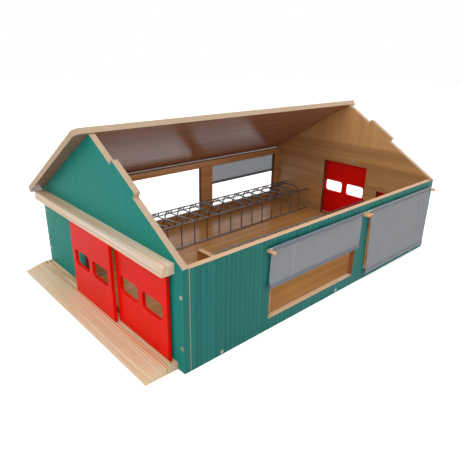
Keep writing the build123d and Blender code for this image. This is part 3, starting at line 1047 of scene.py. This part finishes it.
class BARN_OT_screws(bpy.types.Operator):
    """Finish the countersunk screws"""

    bl_idname = "barn.screws"
    bl_label = "Screws"

    def execute(self, context):
        y_edges = (BOARD / 2, SHELL_WIDTH - BOARD / 2)
        ends = (0.0, SHELL_LENGTH)
        corners = [(x, y, z) for x in ends for y in y_edges for z in CORNER_SCREW_HEIGHTS]
        feet = [(x, y, BOARD / 2) for y in (0.0, SHELL_WIDTH) for x in FOOT_SCREWS]
        self.drive("gable_corner_screws", corners, LONG_SCREW, lambda x, y: X if x == 0 else -X)
        self.drive("wall_foot_screws", feet, LONG_SCREW, lambda x, y: Y if y == 0 else -Y)
        self.drive("rail_screws", RAIL_SCREWS, RAIL_SCREW, lambda x, y: -X if x == BOARD else X)
        return {"FINISHED"}

    def drive(self, node, places, length, heading):
        """Sets one node's screws at their places."""
        bm = bmesh.new()
        for place in places:
            screw(bm, at(*place), heading(*place[:2]), length)
        bmesh.ops.recalc_face_normals(bm, faces=bm.faces)
        name = node + "_plated"
        piece(bm, name, "barn", [finish("screw")], [node], SCREW_SHARP)


class BARN_OT_curtains(bpy.types.Operator):
    """Hang the roll-up curtains"""

    bl_idname = "barn.curtains"
    bl_label = "Curtains"

    def execute(self, context):
        front, back = (0.0, -1), (SHELL_WIDTH, 1)
        self.rod("front_left_curtain_top_rod", "barn", FRONT_PEGS[:2], ROD_HEIGHT, front)
        self.rod("front_right_curtain_top_rod", "barn", FRONT_PEGS[2:], ROD_HEIGHT, front)
        self.rod("back_right_curtain_top_rod", "barn", BACK_PEGS[2:], ROD_HEIGHT, back)
        left = self.left_drift, self.left_folds, self.left_painted_highlight
        self.rolled("front_left", LEFT_BAR, LEFT_CLOTH, front, LEFT_HEIGHT, *left)
        right = self.nothing, self.back_folds, self.nothing
        self.rolled("back_right", BACK_BAR, BACK_CLOTH, back, BACK_HEIGHT, *right)
        self.hanging("front_right", RIGHT_CLOTH, front)
        return {"FINISHED"}

    # The folds' heights, wavelengths and places are in millimetres

    def left_folds(self, x, up):
        free = share_of(ROD_HEIGHT - up, 14) * share_of(up - LEFT_HEIGHT, 10)
        crease = 1.6 * bell(x, LEFT_CREASE, 2.5) - 1.2 * share_of(LEFT_CREASE - x, 10)
        return free * (0.4 * math.sin(x / 13.0) + crease)

    def left_drift(self, share, up):
        return -LEFT_FLARE * (ROD_HEIGHT - up) / (ROD_HEIGHT - LEFT_HEIGHT) * max(1 - share * 6, 0)

    # A painted highlight: paler along the crease and the left edge.
    def left_painted_highlight(self, x):
        return -0.5 * bell(x, LEFT_CREASE, 1.6) - 0.6 * bell(x, LEFT_CLOTH[0], 1.5)

    def back_folds(self, x, up):
        free = share_of(ROD_HEIGHT - up, 18) * share_of(up - BACK_HEIGHT, 10)
        return free * 0.5 * math.sin(x / 17.0 + 1.0)

    def right_folds(self, x, up):
        free = share_of(ROD_HEIGHT - up - HEM_DEPTH, 22) * share_of(up - 18, 20)
        slant = x + (up - 100) * 0.5
        near_top = bell(up, 104, 22)
        crease = 1.9 * bell(slant, 548, 6) - 1.3 * bell(slant, 560, 5)
        return free * (0.7 * math.sin(x / 19.0) + near_top * crease)

    # A painted highlight: paler along both edges.
    def right_painted_highlight(self, x, up):
        return -0.5 * sum(bell(x, edge, 1.5) for edge in RIGHT_CLOTH)

    def right_hem(self, x, up):
        return RIGHT_HEM_TONE

    def right_drift(self, share, up):
        return RIGHT_SWAY * (ROD_HEIGHT - up) / (ROD_HEIGHT - RIGHT_HEIGHT)

    def nothing(self, *place):
        return 0.0

    def rod(self, node, body, xs, height, wall):
        """A rod that lies across two pegs, or the bar in a curtain's lower edge."""
        wall_y, side = wall
        y = wall_y + side * CLOTH_OFF_WALL
        bm = bmesh.new()
        past = ROD_PAST_PEG if body == "barn" else BAR_PAST_CLOTH
        ends = at(xs[0] - past, y, height), at(xs[1] + past, y, height)
        straight(bm, *ends, ROD_RADIUS * MM, ROD_SIDES)
        soften(bm, ROD_ROUND * MM, 2, 50.0)
        piece(bm, node + "_steel", body, [finish("rod")], [node], TURNED_SHARP)

    def cloth(self, name, path, span, wall, drift, folds, banded):
        """One piece of cloth along a path, and its flat size."""
        bm, length = hang(path, span, wall, drift, folds, banded)
        obj = piece(bm, name, None, [finish("cloth")], [], 180)
        thick = obj.modifiers.new("thickness", "SOLIDIFY")
        thick.thickness = bpy.context.scene.barn_sizes.cloth_thickness
        thick.offset = 0.0
        return obj, ((span[1] - span[0]) * MM, length)

    def rolled(self, name, bar_span, span, wall, bar_height, drift, folds, painted_highlight):
        """A curtain that is partly wound up on its bar."""
        self.rod(name + "_curtain_bar", name + "_curtain_bar", bar_span, bar_height, wall)
        hem = top_hem()
        high, low = hem[-1][1], bar_height + ROLL_TOP
        edges = [(STITCH, up) for up in (high - TONE_STEP, low + TONE_STEP, low)]
        path = hem + edges[:1] + run_down(*edges[:2]) + edges[1:] + bottom_roll(bar_height)

        def banded(x, up):
            # Painted highlight on the panel; the hems' tone on the top hem and on the roll, where
            # it is painted shade.
            return painted_highlight(x) if low + TONE_STEP / 3 < up < high - TONE_STEP / 3 else ROLL_TONE

        obj, flat = self.cloth(name + "_curtain_cloth", path, span, wall, drift, folds, banded)
        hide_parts(name + "_curtain", name + "_curtain_roll")
        y = wall[0] + wall[1] * CLOTH_OFF_WALL
        start, end = (at(sum(span) / 2, y, height) for height in (ROD_HEIGHT, bar_height))
        name + "_curtain_bar"
        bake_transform(obj)
        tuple(start)
        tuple(end)
        name + "_curtain_top_rod_steel"

    def hanging(self, name, span, wall):
        """A curtain that hangs right down, hemmed round its bar."""
        bar, drift = name + "_curtain_bar", self.right_drift
        self.rod(bar, bar, [x + RIGHT_SWAY for x in span], RIGHT_HEIGHT, wall)
        hem, foot = top_hem(), bottom_hem(RIGHT_HEIGHT)
        path = [hem[-1], *run_down(hem[-1], foot[0]), foot[0]]
        name += "_curtain"
        flat = self.nothing, self.right_hem
        folded = self.right_folds, self.right_painted_highlight
        top, top_flat = self.cloth(name + "_top_hem", hem, span, wall, drift, *flat)
        panel, panel_flat = self.cloth(name + "_panel", path, span, wall, drift, *folded)
        low, low_flat = self.cloth(name + "_low_hem", foot, span, wall, drift, *flat)
        for obj, body in ((top, "barn"), (panel, "barn"), (low, bar)):
            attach(obj, body)
        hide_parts(name)
        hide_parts(name + "_roll")
        drop = hem[-1][1] - foot[0][1]
        at(0, 0, hem[-1][1])
        1 - RIGHT_RISE / drop
        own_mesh(panel)
        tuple(Z)
        bar + "_steel"


class BARN_OT_stage(bpy.types.Operator):
    """Set the floor, the lamps and the camera"""

    bl_idname = "barn.stage"
    bl_label = "Stage"

    def execute(self, context):
        scene = context.scene
        setup = scene.barn_stage

        bm = bmesh.new()
        bmesh.ops.create_circle(bm, cap_ends=True, segments=96, radius=6.0)
        floor = bpy.data.meshes.new("studio_floor")
        bm.to_mesh(floor)
        bm.free()
        obj = bpy.data.objects.new("studio_floor", floor)
        scene.collection.objects.link(obj)
        floor.materials.append(self.floor_finish())
        obj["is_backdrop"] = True

        world = bpy.data.worlds.new("studio_light")
        scene.world = world
        world.use_nodes = True
        tree = world.node_tree
        background = tree.nodes["Background"]
        path = tree.nodes.new("ShaderNodeLightPath")
        background.inputs["Color"].default_value = WHITE
        seen = tree.nodes.new("ShaderNodeMath")
        seen.operation = "MAXIMUM"
        tree.links.new(path.outputs["Is Camera Ray"], seen.inputs[0])
        tree.links.new(path.outputs["Is Glossy Ray"], seen.inputs[1])
        strength = tree.nodes.new("ShaderNodeMapRange")
        strength.inputs["To Min"].default_value = setup.sky
        strength.inputs["To Max"].default_value = 1.0
        tree.links.new(seen.outputs[0], strength.inputs["Value"])
        tree.links.new(strength.outputs["Result"], background.inputs["Strength"])

        for name, place, size, power in (
            ("key_lamp", (-1.9, -0.5, 1.8), 1.8, setup.key_power),
            ("top_lamp", (0.1, -0.9, 2.4), 1.8, setup.top_power),
            ("side_lamp", (2.0, -1.7, 1.3), 0.8, setup.side_power),
            ("back_lamp", (0.5, 2.0, 0.4), 0.8, setup.back_power),
        ):
            lamp = bpy.data.lights.new(name, "AREA")
            lamp.shape = "DISK"
            lamp.size = size
            lamp.energy = power
            holder = bpy.data.objects.new(name, lamp)
            holder.location = place
            aim = LAMP_TARGET - Vector(place)
            holder.rotation_euler = aim.to_track_quat("-Z", "Y").to_euler()
            scene.collection.objects.link(holder)

        camera = bpy.data.cameras.new("barn_camera")
        camera.sensor_width = 36.0
        camera.lens = setup.lens
        camera.clip_start = 0.01
        holder = bpy.data.objects.new("barn_camera", camera)
        around, down = setup.azimuth, setup.elevation
        heading = Vector(
            (math.sin(around) * math.cos(down), math.cos(around) * math.cos(down), -math.sin(down))
        )
        turn = heading.to_track_quat("-Z", "Y").to_matrix() @ Matrix.Rotation(setup.roll, 3, "Z")
        holder.matrix_world = Matrix.Translation(CAMERA_PLACE) @ turn.to_4x4()
        scene.collection.objects.link(holder)
        scene.camera = holder
        scene.view_settings.view_transform = "Standard"
        return {"FINISHED"}

    def floor_finish(self):
        """Pale matt floor that shows white to the camera and keeps its shadows."""
        f = Finish("studio_floor")
        path = f.node("ShaderNodeLightPath", {}, {}, "Is Camera Ray")
        surface = f.surface(Base_Color=(0.86, 0.86, 0.86, 1), Roughness=0.9)
        glow = f.node("ShaderNodeEmission", {}, {"Color": WHITE, "Strength": path * 0.48})
        return f.shown(f.node("ShaderNodeAddShader", {}, {0: surface, 1: glow}))


class BARN_PT_panel(bpy.types.Panel):
    """Lists the barn's settings and its pieces"""

    bl_idname = "BARN_PT_panel"
    bl_label = "Toy barn"
    bl_space_type = "VIEW_3D"
    bl_region_type = "UI"
    bl_category = "Toy barn"

    def draw(self, context):
        for group in (context.scene.barn_look, context.scene.barn_sizes, context.scene.barn_stage):
            box = self.layout.box()
            for key in group.bl_rna.properties.keys():
                if key not in {"rna_type", "name"}:
                    box.prop(group, key)
        for operator in OPERATORS:
            self.layout.operator(operator.bl_idname)


GROUPS = {"barn_look": BarnLook, "barn_sizes": BarnSizes, "barn_stage": BarnStage}
OPERATORS = (
    BARN_OT_boards,
    BARN_OT_rails,
    BARN_OT_doors,
    BARN_OT_pegs,
    BARN_OT_curtains,
    BARN_OT_fences,
    BARN_OT_screws,
    BARN_OT_stage,
)


def register():
    for cls in (*GROUPS.values(), *OPERATORS, BARN_PT_panel):
        bpy.utils.register_class(cls)
    for name, group in GROUPS.items():
        setattr(bpy.types.Scene, name, PointerProperty(type=group))


def unregister():
    for name in GROUPS:
        delattr(bpy.types.Scene, name)
    for cls in reversed((*GROUPS.values(), *OPERATORS, BARN_PT_panel)):
        bpy.utils.unregister_class(cls)


def main():
    register()
    for operator in OPERATORS:
        getattr(bpy.ops.barn, operator.bl_idname.split(".")[1])()
    sizes = [[list(corner) for corner in box] for box in (cad_box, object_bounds())]


if __name__ == "__main__":
    main()
